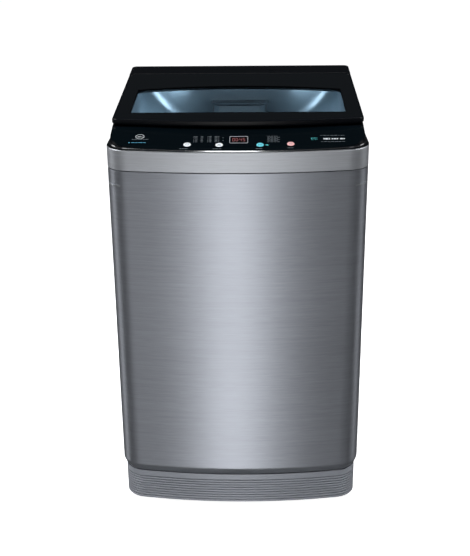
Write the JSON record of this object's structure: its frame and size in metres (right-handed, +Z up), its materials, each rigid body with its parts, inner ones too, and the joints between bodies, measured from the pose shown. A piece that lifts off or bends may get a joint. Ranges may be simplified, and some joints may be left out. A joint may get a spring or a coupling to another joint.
{
  "type": "top load washing machine",
  "caption": "Upright top load washing machine: bowed grey metal cabinet on a ribbed base, silver band, sloped black control panel and a tilted black glass lid over a hanging tub.",
  "frame": {"origin": "on the floor under the middle of the machine's bounding box", "axes": "+Z up, front towards -Y, +X to the right seen from the front"},
  "size_m": [0.55, 0.5699, 0.9403],
  "materials": {
    "cabinet": "satin metallic grey",
    "band": "fine brushed silver",
    "chrome": "polished",
    "panel_black": "high gloss black",
    "cover_black": "gloss black",
    "lid_glass": "tinted tempered glass",
    "display": "dark display window",
    "lamp": "lit lens",
    "button_white": "gloss white",
    "button_teal": "gloss teal",
    "button_pink": "gloss pink",
    "liner": "gloss grey blue",
    "base": "moulded grey",
    "white_plastic": "moulded",
    "tub_plastic": "moulded polypropylene",
    "dark_plastic": "moulded black",
    "stainless": "stainless drum",
    "steel": "galvanised",
    "cast": "die cast",
    "shaft_steel": "ground steel",
    "rubber": "moulded rubber",
    "board": "circuit board"
  },
  "bodies": {
    "cabinet_body": {"cabinet": "cabinet", "rear_panel": "steel", "rear_screws": "shaft_steel", "base_frame": "base", "base_plate": "dark_plastic", "rear_feet": "rubber", "front_band": "band", "chrome_trim": "chrome", "control_panel": "panel_black", "display_window": "display", "lamp_lens": "lamp", "control_board": "board", "top_cover": "cover_black", "mouth_guard": "liner", "rear_console": "cover_black", "inlet_box": "liner", "inlet_valve": "white_plastic", "valve_coil": "dark_plastic", "pressure_sensor": "white_plastic", "lid_switch": "dark_plastic", "drain_spigot": "dark_plastic", "cord_gland": "dark_plastic", "corner_brackets": "steel", "rod_seats": "dark_plastic", "suspension_rods": "shaft_steel", "suspension_springs": "shaft_steel"},
    "lid": {"lid_frame": "cover_black", "lid_glass": "lid_glass", "lid_hinge_pins": "shaft_steel"},
    "drawer": {"detergent_drawer": "liner"},
    "tub": {"outer_tub": "tub_plastic", "tub_ring": "white_plastic", "bearings": "shaft_steel", "gearcase": "cast", "mounting_plate": "steel", "motor": "dark_plastic", "belt": "rubber", "capacitor": "white_plastic", "drain_valve": "white_plastic", "spring_cups": "dark_plastic"},
    "wash_basket": {"basket": "stainless", "basket_hub": "tub_plastic", "balance_ring": "liner", "lint_filter": "white_plastic", "spin_shaft": "shaft_steel"},
    "agitator": {"pulsator": "liner", "pulsator_cap": "white_plastic", "wash_shaft": "shaft_steel", "drive_pulley": "cast"},
    "motor_rotor": {"motor_shaft": "shaft_steel", "motor_pulley": "cast"},
    "program_key": {"program_button": "button_white"},
    "level_key": {"level_button": "button_white"},
    "start_key": {"start_button": "button_teal"},
    "power_key": {"power_button": "button_pink"},
    "left_foot": {"front_foot_left": "rubber", "front_stud_left": "shaft_steel"},
    "right_foot": {"front_foot_right": "rubber", "front_stud_right": "shaft_steel"}
  },
  "joints": [
    {"name": "lid_hinge", "type": "hinge", "parent": "cabinet_body", "child": "lid", "pos_m": [0, 0.16428, 0.92938], "axis": [-1, 0, 0], "range_deg": [0, 95]},
    {"name": "drawer_slide", "type": "slide", "parent": "cabinet_body", "child": "drawer", "axis": [0, -1, 0], "range_m": [0, 0.07]},
    {"name": "tub_suspension", "type": "slide", "parent": "cabinet_body", "child": "tub", "axis": [0, 0, 1], "range_m": [-0.02, 0.008], "stiffness_N_per_m": 9000, "springref_m": 0.0239, "deforming": ["suspension_springs"]},
    {"name": "basket_spin", "type": "hinge", "parent": "tub", "child": "wash_basket", "pos_m": [0, -0.005, 0.3], "axis": [0, 0, 1], "continuous": true},
    {"name": "pulsator_spin", "type": "hinge", "parent": "tub", "child": "agitator", "pos_m": [0, -0.005, 0.2], "axis": [0, 0, 1], "continuous": true},
    {"name": "motor_spin", "type": "hinge", "parent": "tub", "child": "motor_rotor", "pos_m": [0.15, -0.005, 0.14], "axis": [0, 0, 1], "continuous": true},
    {"name": "program_press", "type": "slide", "parent": "cabinet_body", "child": "program_key", "axis": [0, 0.2924, -0.9563], "range_m": [0, 0.0012], "stiffness_N_per_m": 1500},
    {"name": "level_press", "type": "slide", "parent": "cabinet_body", "child": "level_key", "axis": [0, 0.2924, -0.9563], "range_m": [0, 0.0012], "stiffness_N_per_m": 1500},
    {"name": "start_press", "type": "slide", "parent": "cabinet_body", "child": "start_key", "axis": [0, 0.2924, -0.9563], "range_m": [0, 0.0012], "stiffness_N_per_m": 1500},
    {"name": "power_press", "type": "slide", "parent": "cabinet_body", "child": "power_key", "axis": [0, 0.2924, -0.9563], "range_m": [0, 0.0012], "stiffness_N_per_m": 1500},
    {"name": "left_foot_screw", "type": "slide", "parent": "cabinet_body", "child": "left_foot", "axis": [0, 0, -1], "range_m": [0, 0.012]},
    {"name": "right_foot_screw", "type": "slide", "parent": "cabinet_body", "child": "right_foot", "axis": [0, 0, -1], "range_m": [0, 0.012]}
  ],
  "couplings": [
    {"joint": "motor_spin", "follows": "pulsator_spin", "ratio": 4.5196}
  ]
}
